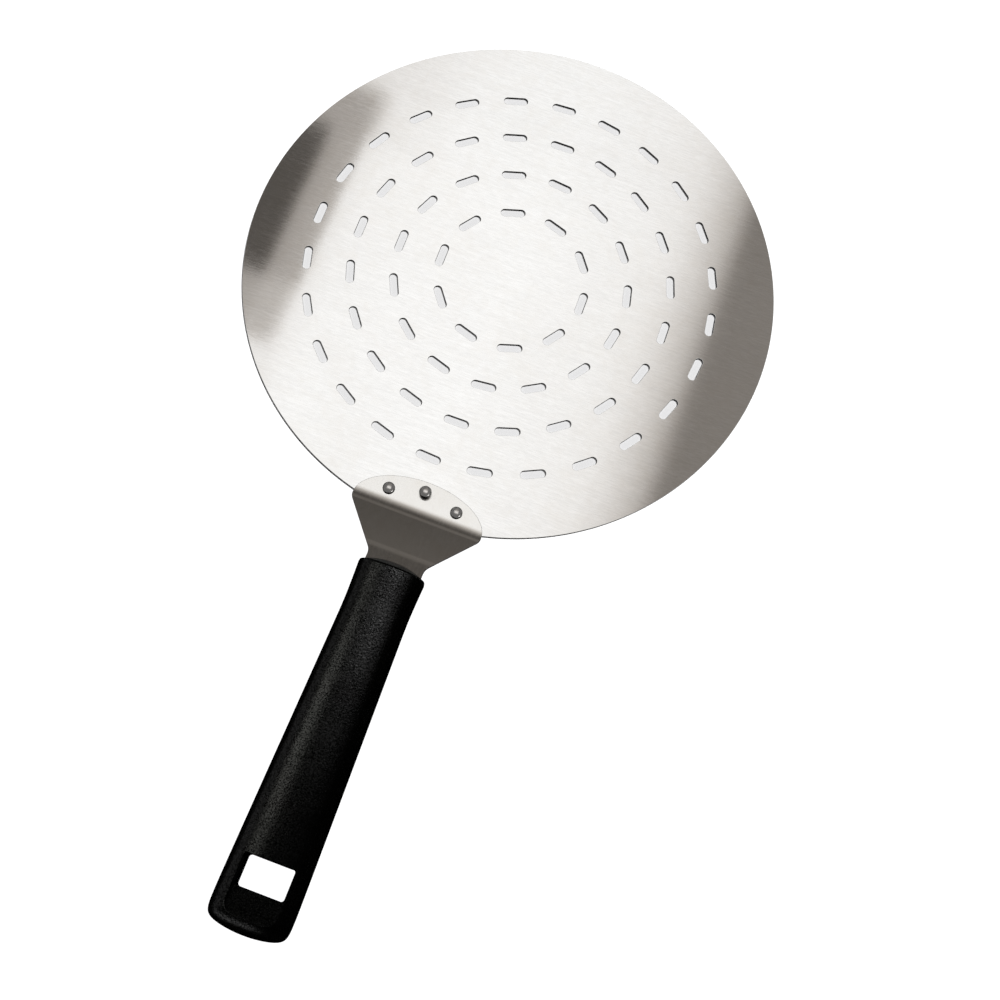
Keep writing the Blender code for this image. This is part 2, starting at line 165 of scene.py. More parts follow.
# ---------------------------------------------------------------- mesh helpers

def new_object(name, mesh):
    piece = bpy.data.objects.new(name, mesh)
    bpy.context.scene.collection.objects.link(piece)
    return piece


def mesh_from_bmesh(name, editor):
    mesh = bpy.data.meshes.new(name)
    editor.to_mesh(mesh)
    editor.free()
    return mesh


def apply_modifiers(piece):
    """Replace a piece's mesh by what its modifiers make of it."""
    bpy.context.view_layer.update()
    evaluated = piece.evaluated_get(bpy.context.evaluated_depsgraph_get())
    mesh = bpy.data.meshes.new_from_object(evaluated)
    piece.modifiers.clear()
    piece.data = mesh
    return piece


def clean_mesh(mesh, distance=WELD_DISTANCE):
    """Weld close points and turn every face outwards."""
    editor = bmesh.new()
    editor.from_mesh(mesh)
    bmesh.ops.remove_doubles(editor, verts=editor.verts, dist=distance)
    bmesh.ops.recalc_face_normals(editor, faces=editor.faces)
    editor.to_mesh(mesh)
    editor.free()


def cut(piece, cutters):
    """Subtract each cutter from a piece, and remove the cutters."""
    for cutter in cutters:
        modifier = piece.modifiers.new(cutter.name, "BOOLEAN")
        modifier.operation = "DIFFERENCE"
        modifier.solver = "EXACT"
        modifier.object = cutter
    apply_modifiers(piece)
    for cutter in cutters:
        bpy.data.objects.remove(cutter, do_unlink=True)


def round_edges(piece):
    """Round the sharp edges that were cut into the grip."""
    bevel = piece.modifiers.new("edges", "BEVEL")
    bevel.width = GRIP_EDGE
    bevel.segments = GRIP_EDGE_STEPS
    bevel.limit_method = "ANGLE"
    bevel.angle_limit = GRIP_EDGE_ANGLE
    bevel.use_clamp_overlap = True
    apply_modifiers(piece)


def smooth_shading(piece, angle=35.0):
    """Smooth shading in which the large flat faces keep their own normals."""
    piece.data.shade_smooth()
    piece.data.set_sharp_from_angle(angle=math.radians(angle))
    weighted = piece.modifiers.new("normals", "WEIGHTED_NORMAL")
    weighted.mode = "FACE_AREA"
    weighted.weight = 100
    weighted.keep_sharp = True
    apply_modifiers(piece)


def smooth_plate(piece):
    """Smooth rounded edges on a flat plate whose two faces stay exactly level."""
    level = [Vector()] * len(piece.data.vertices)
    for polygon in piece.data.polygons:
        if abs(polygon.normal.z) > LEVEL_FACE_LIMIT:
            for index in polygon.vertices:
                level[index] = polygon.normal.copy()
    piece.data.shade_smooth()
    piece.data.normals_split_custom_set_from_vertices(level)


def map_flat(piece):
    """A flat map of a piece as seen from above, which gives the brushed grain its direction."""
    layer = piece.data.uv_layers.new(name="flat")
    for loop, corner in zip(piece.data.loops, layer.data):
        place = piece.data.vertices[loop.vertex_index].co
        corner.uv = (place.x * FLAT_MAP_SCALE + 0.5, place.y * FLAT_MAP_SCALE + 0.5)


def arc_points(centre, radius, start, end, steps):
    angles = (start + (end - start) * step / steps for step in range(steps + 1))
    return [(centre[0] + radius * math.cos(a), centre[1] + radius * math.sin(a)) for a in angles]


def circle_points(centre, radius, steps):
    return arc_points(centre, radius, 0.0, math.tau, steps)[:-1]


def rounded_corner(before, corner, after, radius, steps):
    """An arc that is tangent to both lines of a corner."""
    corner = Vector(corner)
    towards_before = (Vector(before) - corner).normalized()
    towards_after = (Vector(after) - corner).normalized()
    half_angle = towards_before.angle(towards_after) / 2
    centre = corner + (towards_before + towards_after).normalized() * radius / math.sin(half_angle)
    start = corner + towards_before * radius / math.tan(half_angle) - centre
    end = corner + towards_after * radius / math.tan(half_angle) - centre
    start_angle = math.atan2(start.y, start.x)
    turn = math.remainder(math.atan2(end.y, end.x) - start_angle, math.tau)
    return arc_points(centre, radius, start_angle, start_angle + turn, steps)


def mirrored_outline(right_side):
    return right_side + [(-x, y) for x, y in reversed(right_side)]


def plate_from_outlines(name, outlines, low, high, edge=0.0):
    """A flat plate with rounded edges: the first outline is its rim, the others are holes."""
    curve = bpy.data.curves.new(name, "CURVE")
    curve.dimensions = "2D"
    curve.fill_mode = "BOTH"
    curve.extrude = (high - low) / 2 - edge
    curve.bevel_depth = edge
    curve.bevel_resolution = 2
    curve.offset = -edge
    for outline in outlines:
        spline = curve.splines.new("POLY")
        spline.points.add(len(outline) - 1)
        for point, (x, y) in zip(spline.points, outline):
            point.co = (x, y, 0.0, 1.0)
        spline.use_cyclic_u = True
    guide = new_object(name + "_outline", curve)
    bpy.context.view_layer.update()
    evaluated = guide.evaluated_get(bpy.context.evaluated_depsgraph_get())
    mesh = bpy.data.meshes.new_from_object(evaluated)
    bpy.data.objects.remove(guide, do_unlink=True)
    mesh.transform(Matrix.Translation((0.0, 0.0, (low + high) / 2)))
    clean_mesh(mesh)
    return new_object(name, mesh)


def turned_piece(name, profile, centre):
    """A solid turned about an upright axis from a profile of (radius, height) pairs."""
    editor = bmesh.new()
    rings = []
    for radius, height in profile:
        if radius == 0.0:
            rings.append([editor.verts.new((centre[0], centre[1], height))])
            continue
        ring = []
        for x, y in circle_points(centre, radius, RIVET_STEPS):
            ring.append(editor.verts.new((x, y, height)))
        rings.append(ring)
    for upper, lower in zip(rings, rings[1:]):
        for index in range(RIVET_STEPS):
            after = (index + 1) % RIVET_STEPS
            corners = [upper[index % len(upper)], upper[after % len(upper)]]
            corners += [lower[after % len(lower)], lower[index % len(lower)]]
            editor.faces.new(list(dict.fromkeys(corners)))
    bmesh.ops.recalc_face_normals(editor, faces=editor.faces)
    return new_object(name, mesh_from_bmesh(name, editor))


def loft(name, rings):
    """A closed solid through a row of rings with the same number of points."""
    editor = bmesh.new()
    rows = [[editor.verts.new(point) for point in ring] for ring in rings]
    count = len(rings[0])
    for row, following in zip(rows, rows[1:]):
        for index in range(count):
            after = (index + 1) % count
            editor.faces.new((row[index], row[after], following[after], following[index]))
    editor.faces.new(rows[0])
    editor.faces.new(rows[-1])
    bmesh.ops.recalc_face_normals(editor, faces=editor.faces)
    return new_object(name, mesh_from_bmesh(name, editor))


# ---------------------------------------------------------------- blade

def slot_outline(ring_radius, angle):
    """One round-ended slot along its ring; the angle is clockwise from +Y."""
    centre = Vector((ring_radius * math.sin(angle), ring_radius * math.cos(angle)))
    end_radius = SLOT_WIDTH / 2
    reach = SLOT_LENGTH / 2 - end_radius
    outline = []
    for side in (1, -1):
        end = centre + Vector((math.cos(angle), -math.sin(angle))) * reach * side
        middle = -angle + (0.0 if side > 0 else math.pi)
        quarter = math.pi / 2
        outline += arc_points(end, end_radius, middle - quarter, middle + quarter, SLOT_END_STEPS)
    return outline


def rivet_places():
    """Name, centre, head radius and top of each rivet, from the CAD boxes."""
    places = []
    for name in RIVET_NODES:
        low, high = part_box(name)
        centre = ((low.x + high.x) / 2, (low.y + high.y) / 2)
        places.append((name, centre, (high.x - low.x) / 2, high.z))
    return places


def make_blade():
    low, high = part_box("blade")
    outlines = [circle_points((0.0, 0.0), high.x, RIM_STEPS)]
    for radius, count in SLOT_RINGS:
        for place in range(count):
            outlines.append(slot_outline(radius * MM, math.tau * place / count - SLOT_TURN))
    for _, centre, _, _ in rivet_places():
        outlines.append(circle_points(centre, RIVET_HOLE_RADIUS, HOLE_STEPS))
    blade = plate_from_outlines("perforated_blade", outlines, low.z, high.z, BLADE_EDGE)
    smooth_plate(blade)
    map_flat(blade)
    return blade


# ---------------------------------------------------------------- neck

def neck_side_path():
    """The sheet's middle line as (y, height, slope), from the blade to the tang's end."""
    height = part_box("neck_bracket")[0].z + NECK_THICKNESS / 2
    path = [(FLANGE_ARC_CENTRE_Y + FLANGE_ARC_HEIGHT, height, 0.0), (FLANGE_BEND_Y, height, 0.0)]

    def straight(direction, length, slope):
        y, z = path[-1][:2]
        path.append((y - math.cos(direction) * length, z + math.sin(direction) * length, slope))

    def bend(start, end, radius):
        turn = (end - start) / BEND_STEPS
        chord = 2 * radius * math.sin(abs(turn) / 2)
        for step in range(BEND_STEPS):
            straight(start + turn * (step + 0.5), chord, start + turn * (step + 1))

    bend(0.0, RISER_ANGLE, FLANGE_BEND_RADIUS)
    straight(RISER_ANGLE, RISER_LENGTH, RISER_ANGLE)
    bend(RISER_ANGLE, THROAT_ANGLE, THROAT_BEND_RADIUS)
    straight(THROAT_ANGLE, THROAT_LENGTH, THROAT_ANGLE)
    bend(THROAT_ANGLE, GRIP_RISE, TANG_BEND_RADIUS)
    remaining = path[-1][0] - (TANG_END_Y - CUT_MARGIN)
    straight(GRIP_RISE, remaining / math.cos(GRIP_RISE), GRIP_RISE)
    return path


def neck_outline(growth=0.0):
    """The neck as seen from above; growth widens its lower part for a clearance."""
    throat = THROAT_HALF_WIDTH + growth
    tang = TANG_HALF_WIDTH + growth
    shoulder_y = TANG_SHOULDER_Y - growth
    end_y = TANG_END_Y - growth
    side = []
    for step in range(1, FLANGE_ARC_STEPS):
        angle = math.pi / 2 * (1 - step / FLANGE_ARC_STEPS)
        y = FLANGE_ARC_CENTRE_Y + FLANGE_ARC_HEIGHT * math.sin(angle)
        side.append((FLANGE_HALF_WIDTH * math.cos(angle), y))
    turns = (
        ((FLANGE_HALF_WIDTH, FLANGE_ARC_CENTRE_Y), 0.0),
        ((FLANGE_HALF_WIDTH, SHOULDER_Y), SHOULDER_RADIUS),
        ((throat, THROAT_Y), THROAT_RADIUS),
        ((throat, shoulder_y), TANG_SHOULDER_RADIUS),
        ((tang, shoulder_y - TANG_SHOULDER_FALL), TANG_SHOULDER_RADIUS),
        ((tang, end_y), TANG_END_RADIUS),
        ((0.0, end_y), 0.0),
    )
    for (before, _), (corner, radius), (after, _) in zip(turns, turns[1:], turns[2:]):
        side += rounded_corner(before, corner, after, radius, CORNER_STEPS)
    top = (0.0, FLANGE_ARC_CENTRE_Y + FLANGE_ARC_HEIGHT)
    return [top] + mirrored_outline(side)


def read_path(path, y):
    """Height and slope of the sheet's middle line at y."""
    for (y0, height0, slope0), (y1, height1, slope1) in zip(path, path[1:]):
        if y >= y1:
            share = max(0.0, min(1.0, (y0 - y) / (y0 - y1)))
            return height0 + (height1 - height0) * share, slope0 + (slope1 - slope0) * share
    return path[-1][1:]


def bend_sheet(sheet, path):
    """Slice a flat sheet across at every point of the path and lift it onto the path."""
    editor = bmesh.new()
    editor.from_mesh(sheet.data)
    for y, _, _ in path[1:-1]:
        geometry = editor.verts[:] + editor.edges[:] + editor.faces[:]
        bmesh.ops.bisect_plane(
            editor, geom=geometry, plane_co=(0.0, y, 0.0), plane_no=(0.0, 1.0, 0.0)
        )
    for vertex in editor.verts:
        height, slope = read_path(path, vertex.co.y)
        vertex.co.z = height + vertex.co.z / math.cos(slope)
    bmesh.ops.remove_doubles(editor, verts=editor.verts, dist=WELD_DISTANCE)
    bmesh.ops.dissolve_limit(
        editor, angle_limit=FLAT_JOIN_ANGLE, verts=editor.verts, edges=editor.edges
    )
    editor.to_mesh(sheet.data)
    editor.free()


def make_neck():
    outlines = [neck_outline()]
    for _, centre, _, _ in rivet_places():
        outlines.append(circle_points(centre, NECK_HOLE_RADIUS, HOLE_STEPS))
    half = NECK_THICKNESS / 2
    neck = plate_from_outlines("stepped_neck", outlines, -half, half, NECK_EDGE)
    bend_sheet(neck, neck_side_path())
    smooth_shading(neck)
    map_flat(neck)
    return neck


# ---------------------------------------------------------------- rivets

def rivet_profile(head_radius, top, seat):
    """Dome, straight button, shank and the flared tail."""
    dome_base = top - RIVET_DOME_HEIGHT
    profile = []
    for step in range(DOME_STEPS + 1):
        angle = math.pi / 2 * step / DOME_STEPS
        height = dome_base + RIVET_DOME_HEIGHT * math.cos(angle)
        profile.append((head_radius * math.sin(angle), height))
    profile += [
        (head_radius, seat + RIVET_EDGE),
        (head_radius - RIVET_EDGE * 0.3, seat + RIVET_EDGE * 0.3),
        (head_radius - RIVET_EDGE, seat),
        (RIVET_SHANK_RADIUS, seat),
        (RIVET_SHANK_RADIUS, RIVET_TAIL_HEIGHT),
        (RIVET_TAIL_RADIUS, RIVET_EDGE),
        (RIVET_TAIL_RADIUS - RIVET_TAIL_CHAMFER, RIVET_TAIL_LIFT),
        (0.0, RIVET_TAIL_LIFT),
    ]
    return profile


def make_rivets():
    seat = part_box("neck_bracket")[0].z + NECK_THICKNESS + FIT_GAP
    pieces = []
    for name, centre, head_radius, top in rivet_places():
        profile = rivet_profile(head_radius, top, seat)
        piece = turned_piece(name + "_domed", profile, centre)
        smooth_shading(piece, angle=50.0)
        map_flat(piece)
        pieces.append((piece, name))
    return pieces


# ---------------------------------------------------------------- grip and cap

def curve_value(table, distance):
    """A value read from (distance, value) pairs along a smooth curve through them."""
    segment = 0
    while segment < len(table) - 2 and distance > table[segment + 1][0]:
        segment += 1
    start, low = table[segment]
    end, high = table[segment + 1]
    length = end - start
    share = max(0.0, min(1.0, (distance - start) / length))
    rise_in = table_slope(table, segment) * length
    rise_out = table_slope(table, segment + 1) * length
    value = low + (high - low) * share * share * (3 - 2 * share)
    value += rise_in * share * (1 - share) ** 2
    value -= rise_out * (1 - share) * share ** 2
    return value


def table_slope(table, index):
    before = table[max(0, index - 1)]
    after = table[min(len(table) - 1, index + 1)]
    return (after[1] - before[1]) / (after[0] - before[0])


def section(distance, half_width, half_height):
    """One cross-section of the grip: a superellipse at a distance along the grip's axis."""
    power = 2 / GRIP_SECTION_POWER
    ring = []
    for step in range(SECTION_STEPS):
        angle = math.tau * step / SECTION_STEPS
        across = math.copysign(abs(math.cos(angle)) ** power, math.cos(angle))
        up = math.copysign(abs(math.sin(angle)) ** power, math.sin(angle))
        ring.append(Vector((half_width * across, -distance, half_height * up)))
    return ring


def grip_half_width(distance):
    side = curve_value(GRIP_HALF_WIDTHS, distance)
    ahead = distance - (GRIP_LENGTH - GRIP_END_ARC_RADIUS)
    if ahead <= 0:
        return side
    arc = math.sqrt(max(0.0, GRIP_END_ARC_RADIUS ** 2 - ahead ** 2)) + THIN
    power = GRIP_END_CORNER_POWER
    return (side ** -power + arc ** -power) ** (-1 / power)


def grip_half_height(distance):
    height = curve_value(GRIP_HALF_HEIGHTS, distance)
    inside = (distance - (GRIP_LENGTH - GRIP_END_ROUNDING)) / GRIP_END_ROUNDING
    if inside <= 0:
        return height
    return height * math.sqrt(max(0.0, 1 - inside ** 3)) + THIN


def grip_rings():
    """The rounded front rim, the body and the rounded far end."""
    rings = []
    for step in range(GRIP_FRONT_STATIONS + 1):
        angle = math.pi / 2 * step / GRIP_FRONT_STATIONS
        inset = GRIP_FRONT_ROUND * (1 - math.sin(angle))
        distance = GRIP_FRONT_ROUND * (1 - math.cos(angle))
        width = grip_half_width(distance) - inset
        rings.append(section(distance, width, grip_half_height(distance) - inset))
    body_end = GRIP_LENGTH - GRIP_END_ROUNDING
    for step in range(1, GRIP_BODY_STATIONS):
        distance = GRIP_FRONT_ROUND + (body_end - GRIP_FRONT_ROUND) * step / GRIP_BODY_STATIONS
        rings.append(section(distance, grip_half_width(distance), grip_half_height(distance)))
    for step in range(GRIP_END_STATIONS + 1):
        angle = math.pi / 2 * step / GRIP_END_STATIONS
        distance = body_end + (GRIP_END_ROUNDING - 2 * THIN) * math.sin(angle)
        rings.append(section(distance, grip_half_width(distance), grip_half_height(distance)))
    return rings


def end_block(name, length, half_width, front_radius, rear_radius, low, high):
    """An upright rounded block that starts at the hanging window's front."""
    front_y = -WINDOW_FRONT
    rear_y = front_y - length
    side = rounded_corner(
        (0.0, front_y), (half_width, front_y), (half_width, rear_y), front_radius, CORNER_STEPS
    )
    side += rounded_corner(
        (half_width, front_y), (half_width, rear_y), (0.0, rear_y), rear_radius, CORNER_STEPS
    )
    return plate_from_outlines(name, [mirrored_outline(side)], low, high)


def place_on_grip_axis(piece):
    """Turn and move a piece that was made along -Y to the grip's own axis."""
    turn = Matrix.Rotation(-GRIP_RISE, 4, "X")
    piece.data.transform(Matrix.Translation(GRIP_FRONT) @ turn)


def spigot_rings(front, rear, growth):
    half_width = SPIGOT_HALF_WIDTH + growth
    half_height = SPIGOT_HALF_HEIGHT + growth
    return [section(front, half_width, half_height), section(rear, half_width, half_height)]


def make_grip():
    grip = loft("moulded_grip", grip_rings())
    window = end_block(
        "window", WINDOW_LENGTH, WINDOW_HALF_WIDTH,
        WINDOW_CORNER_RADIUS, WINDOW_CORNER_RADIUS, -CUT_REACH, CUT_REACH
    )
    pocket = end_block(
        "pocket", POCKET_LENGTH, POCKET_HALF_WIDTH,
        WINDOW_CORNER_RADIUS, POCKET_REAR_RADIUS, POCKET_FLOOR_HEIGHT, CUT_REACH
    )
    socket = loft("socket", spigot_rings(-CUT_MARGIN, SPIGOT_LENGTH + FIT_GAP, FIT_GAP))
    cut(grip, [window, pocket, socket])
    clean_mesh(grip.data, COARSE_WELD_DISTANCE)
    round_edges(grip)
    place_on_grip_axis(grip)
    cut(grip, [tang_clearance()])
    clean_mesh(grip.data)
    smooth_shading(grip)
    return grip


def make_cap():
    """The smooth domed plug in the grip's front end, slotted for the tang."""
    rings = []
    rim_width = grip_half_width(0.0) - CAP_RIM_INSET
    rim_height = grip_half_height(0.0) - CAP_RIM_INSET
    for step in range(CAP_DOME_STATIONS + 1):
        size = (step + CAP_TIP_SHARE) / (CAP_DOME_STATIONS + CAP_TIP_SHARE)
        ahead = FIT_GAP + (CAP_DOME_HEIGHT - FIT_GAP) * (1 - size * size)
        rings.append(section(-ahead, rim_width * size, rim_height * size))
    rings += spigot_rings(-FIT_GAP, SPIGOT_LENGTH, 0.0)
    cap = loft("end_cap", rings)
    place_on_grip_axis(cap)
    cut(cap, [tang_clearance()])
    clean_mesh(cap.data, CAP_WELD_DISTANCE)
    smooth_shading(cap)
    return cap


def tang_clearance():
    """The space the neck's sheet takes inside the cap and the grip, with a small gap."""
    half = NECK_THICKNESS / 2 + FIT_GAP
    clearance = plate_from_outlines("tang_clearance", [neck_outline(FIT_GAP)], -half, half)
    bend_sheet(clearance, neck_side_path())
    return clearance


# ---------------------------------------------------------------- materials

EVEN = (1.0, 1.0, 1.0)
GRAIN_HEIGHT = 0.003 * MM
STEEL_WORN = (0.80, 0.79, 0.78)
# Light and dark streaks, roughness from the smoothest to the roughest, height of the waves.
BLADE_FINISH = ((0.665, 0.66, 0.65), (0.59, 0.585, 0.575), (0.04, 0.065), 0.05 * MM)
NECK_FINISH = ((0.64, 0.63, 0.61), (0.56, 0.55, 0.53), (0.16, 0.24), 0.03 * MM)
RIVET_DARK = (0.36, 0.35, 0.34)
RIVET_LIGHT = (0.50, 0.48, 0.46)
RIVET_WORN = (0.66, 0.65, 0.64)
RIVET_SCRATCH_HEIGHT = 0.006 * MM
GRIP_DARK = (0.0010, 0.0011, 0.0008)
GRIP_LIGHT = (0.0022, 0.0023, 0.0018)
GRIP_WORN = (0.012, 0.012, 0.011)
GRIP_GRAIN_HEIGHT = 0.06 * MM
CAP_DARK = (0.0030, 0.0036, 0.0022)
CAP_LIGHT = (0.0062, 0.0068, 0.0046)
CAP_WORN = (0.014, 0.015, 0.012)
CAP_RIPPLE_HEIGHT = 0.02 * MM
FLOOR_SHADE = 0.92
# Painted shade: the grey of the sheet under the blade, which stands in for the blade's shade on
# the floor.
UNDER_BLADE_PAINTED_SHADE = 0.62


class Shader:
    """A small helper that adds linked nodes to one material."""

    def __init__(self, name):
        self.material = bpy.data.materials.new(name)
        self.material.use_nodes = True
        self.nodes = self.material.node_tree.nodes
        self.links = self.material.node_tree.links
        self.surface = self.nodes["Principled BSDF"]
        coordinates = self.nodes.new("ShaderNodeTexCoord")
        self.place = coordinates.outputs["Object"]
        self.facing = coordinates.outputs["Normal"]

    def set(self, **values):
        for name, value in values.items():
            self.surface.inputs[name.replace("_", " ")].default_value = value

    def feed(self, socket, output):
        self.links.new(output, self.surface.inputs[socket])

    def noise(self, scale, detail=3.0, roughness=0.6, stretch=EVEN, distortion=0.0):
        """Noise whose scale is in patterns per metre, stretched per axis."""
        mapping = self.nodes.new("ShaderNodeMapping")
        mapping.inputs["Scale"].default_value = stretch
        self.links.new(self.place, mapping.inputs["Vector"])
        node = self.nodes.new("ShaderNodeTexNoise")
        node.inputs["Scale"].default_value = scale
        node.inputs["Detail"].default_value = detail
        node.inputs["Roughness"].default_value = roughness
        node.inputs["Distortion"].default_value = distortion
        self.links.new(mapping.outputs["Vector"], node.inputs["Vector"])
        return node.outputs["Fac"]

    def cells(self, scale):
        """Rounded cells whose scale is in cells per metre."""
        node = self.nodes.new("ShaderNodeTexVoronoi")
        node.feature = "SMOOTH_F1"
        node.inputs["Scale"].default_value = scale
        node.inputs["Smoothness"].default_value = 0.6
        self.links.new(self.place, node.inputs["Vector"])
        return node.outputs["Distance"]

    def math(self, operation, first, second):
        node = self.nodes.new("ShaderNodeMath")
        node.operation = operation
        for socket, value in zip(node.inputs, (first, second)):
            if isinstance(value, (int, float)):
                socket.default_value = value
            else:
                self.links.new(value, socket)
        return node.outputs[0]

    def mix_values(self, first, first_share, second, second_share):
        scaled = self.math("MULTIPLY", first, first_share)
        return self.math("ADD", scaled, self.math("MULTIPLY", second, second_share))

    def worn_edges(self, colour, worn, strength):
        """Blend in a worn colour where the surface is convex."""
        convex = self.nodes.new("ShaderNodeNewGeometry").outputs["Pointiness"]
        return self.wear(self.spread(convex, 0.0, strength, 0.515, 0.60), colour, worn)

    def worn_rims(self, colour, worn, strength):
        """Blend in a worn colour on a sheet's edges, where it no longer faces up or down."""
        split = self.nodes.new("ShaderNodeSeparateXYZ")
        self.links.new(self.facing, split.inputs["Vector"])
        level = self.math("MULTIPLY", split.outputs["Z"], split.outputs["Z"])
        return self.wear(self.spread(level, strength, 0.0, 0.3, 0.8), colour, worn)

    def wear(self, edges, colour, worn):
        """Blend in a worn colour along edges, broken up by noise."""
        breaks = self.spread(self.noise(500.0), 0.2, 1.0, 0.35, 0.6)
        return self.blend(self.math("MULTIPLY", edges, breaks), colour, worn)

    def spread(self, value, low, high, start=0.3, end=0.7):
        """Map a noise value to a range, with its middle part stretched over it."""
        node = self.nodes.new("ShaderNodeMapRange")
        node.inputs["From Min"].default_value = start
        node.inputs["From Max"].default_value = end
        node.inputs["To Min"].default_value = low
        node.inputs["To Max"].default_value = high
        self.links.new(value, node.inputs["Value"])
        return node.outputs["Result"]

    def blend(self, factor, first, second):
        node = self.nodes.new("ShaderNodeMix")
        node.data_type = "RGBA"
        sockets = {"A": first, "B": second}
        for socket in node.inputs:
            if socket.type == "RGBA" and socket.name in sockets:
                value = sockets[socket.name]
                if isinstance(value, tuple):
                    socket.default_value = (*value, 1.0)
                else:
                    self.links.new(value, socket)
        self.links.new(factor, node.inputs["Factor"])
        return next(s for s in node.outputs if s.type == "RGBA")

    def bump(self, height, distance, below=None):
        """Relief of the given height in metres, on top of another relief."""
        node = self.nodes.new("ShaderNodeBump")
        node.inputs["Distance"].default_value = distance
        node.inputs["Strength"].default_value = 1.0
        self.links.new(height, node.inputs["Height"])
        if below is not None:
            self.links.new(below, node.inputs["Normal"])
        return node.outputs["Normal"]

    def grain_direction(self, across):
        """The direction of the flat map's axes on the surface."""
        node = self.nodes.new("ShaderNodeTangent")
        node.direction_type = "UV_MAP"
        node.uv_map = "flat"
        self.links.new(node.outputs["Tangent"], self.surface.inputs["Tangent"])
        self.surface.inputs["Anisotropic Rotation"].default_value = 0.25 if across else 0.0


def brushed_steel(name, along, finish):
    """Brushed stainless steel whose grain runs along one axis, "X" or "Y"."""
    light, dark, (smoothest, roughest), wave_height = finish
    shader = Shader(name)
    short = (0.12, 1.0, 0.3) if along == "X" else (1.0, 0.12, 0.3)
    long = (0.035, 1.0, 0.3) if along == "X" else (1.0, 0.035, 0.3)
    dashes = shader.noise(2300.0, roughness=0.65, stretch=short)
    scratches = shader.noise(1100.0, stretch=long)
    blotches = shader.noise(150.0, detail=4.0, distortion=0.8)
    cloud = shader.noise(24.0, roughness=0.55, distortion=0.6)
    streak = shader.mix_values(dashes, 0.65, scratches, 0.35)
    patch = shader.mix_values(blotches, 0.6, cloud, 0.4)
    metal = shader.blend(shader.spread(streak, 0.0, 1.0, 0.38, 0.62), dark, light)
    tarnish = (dark[0] * 0.99, dark[1] * 0.965, dark[2] * 0.93)
    metal = shader.blend(shader.spread(patch, 0.0, 0.45, 0.45, 0.68), metal, tarnish)
    shader.feed("Base Color", shader.worn_rims(metal, STEEL_WORN, 0.7))
    shader.feed("Roughness", shader.spread(streak, smoothest, roughest, 0.36, 0.64))
    wavy = shader.bump(shader.noise(11.0, detail=2.0, roughness=0.5), wave_height)
    shader.feed("Normal", shader.bump(streak, GRAIN_HEIGHT, wavy))
    shader.set(Metallic=1.0, Anisotropic=0.6)
    shader.grain_direction(along == "X")
    return shader.material


def polished_steel():
    """Bright rivet steel with a haze and fine scratches."""
    shader = Shader("polished_rivet_steel")
    haze = shader.noise(900.0, detail=4.0)
    scratch = shader.noise(5000.0, detail=2.0, stretch=(0.05, 1.0, 1.0))
    metal = shader.blend(haze, RIVET_DARK, RIVET_LIGHT)
    shader.feed("Base Color", shader.worn_edges(metal, RIVET_WORN, 0.6))
    shader.feed("Roughness", shader.spread(haze, 0.16, 0.27))
    shader.feed("Normal", shader.bump(scratch, RIVET_SCRATCH_HEIGHT))
    shader.set(Metallic=1.0)
    return shader.material


def grained_plastic():
    """Black moulded plastic with a fine leathery grain that catches the light in specks."""
    shader = Shader("grained_black_plastic")
    pits = shader.cells(1250.0)
    grain = shader.noise(1700.0, detail=2.0)
    height = shader.mix_values(pits, 0.6, grain, 0.5)
    cloud = shader.noise(60.0)
    body = shader.blend(cloud, GRIP_DARK, GRIP_LIGHT)
    shader.feed("Base Color", shader.worn_edges(body, GRIP_WORN, 0.5))
    shader.feed("Roughness", shader.spread(cloud, 0.23, 0.29))
    shader.feed("Specular IOR Level", shader.spread(grain, 0.05, 0.95, 0.38, 0.62))
    shader.feed("Normal", shader.bump(height, GRIP_GRAIN_HEIGHT))
    return shader.material


def smooth_plastic():
    """Black plastic with faint ripples, for the cap."""
    shader = Shader("smooth_black_plastic")
    cloud = shader.noise(240.0)
    ripple = shader.noise(1800.0, detail=2.0, roughness=0.5)
    body = shader.blend(cloud, CAP_DARK, CAP_LIGHT)
    shader.feed("Base Color", shader.worn_edges(body, CAP_WORN, 0.5))
    shader.feed("Roughness", shader.spread(cloud, 0.26, 0.38))
    shader.feed("Normal", shader.bump(ripple, CAP_RIPPLE_HEIGHT))
    shader.set(Specular_IOR_Level=0.4)
    return shader.material


def pale_floor(name, level):
    """Matt paper of one grey level with a faint mottle; at a darker level it is the painted shade
    under the blade.
    """
    shader = Shader(name)
    low = (level * 0.985, level * 0.985, level * 0.985)
    high = (level * 1.015, level * 1.01, level * 1.02)
    mottle = shader.noise(14.0, roughness=0.5)
    shader.feed("Base Color", shader.blend(mottle, low, high))
    shader.set(Roughness=1.0, Specular_IOR_Level=0.0)
    return shader.material


def give_material(piece, material):
    piece.data.materials.clear()
    piece.data.materials.append(material)


# ---------------------------------------------------------------- studio

CAMERA_PLACE = Vector((0.05143, -0.24974, 0.51937))
CAMERA_AHEAD = Vector((-0.03532, 0.26957, -0.96233))
CAMERA_UP = Vector((-0.3468, 0.89979, 0.26478))
CAMERA_LENS = 42.83
CAMERA_SENSOR = 36.0

WHITE = (1.0, 1.0, 1.0)
OLIVE = (1.0, 1.01, 0.93)
BACKGROUND_LEVEL = 1.05

FLOOR_SIZE = 6.0
FLOOR_DEPTH = 0.02 * MM
# The sheet of painted shade under the blade: its depth, its inset from the rim and its steps.
PAINTED_SHADE_DEPTH = 0.01 * MM
PAINTED_SHADE_MARGIN = 4.0 * MM
PAINTED_SHADE_STEPS = 90
FLOOR_SUN_STRENGTH = 4.5
FLOOR_SUN_ANGLE = math.radians(9.0)
FLOOR_SUN_FROM = Vector((0.31, 0.43, 0.85))
FLOOR_PANEL = ((-1.0, 1.0), (-0.6, 1.4), 2.0, 0.16)  # across, along, height, radiance

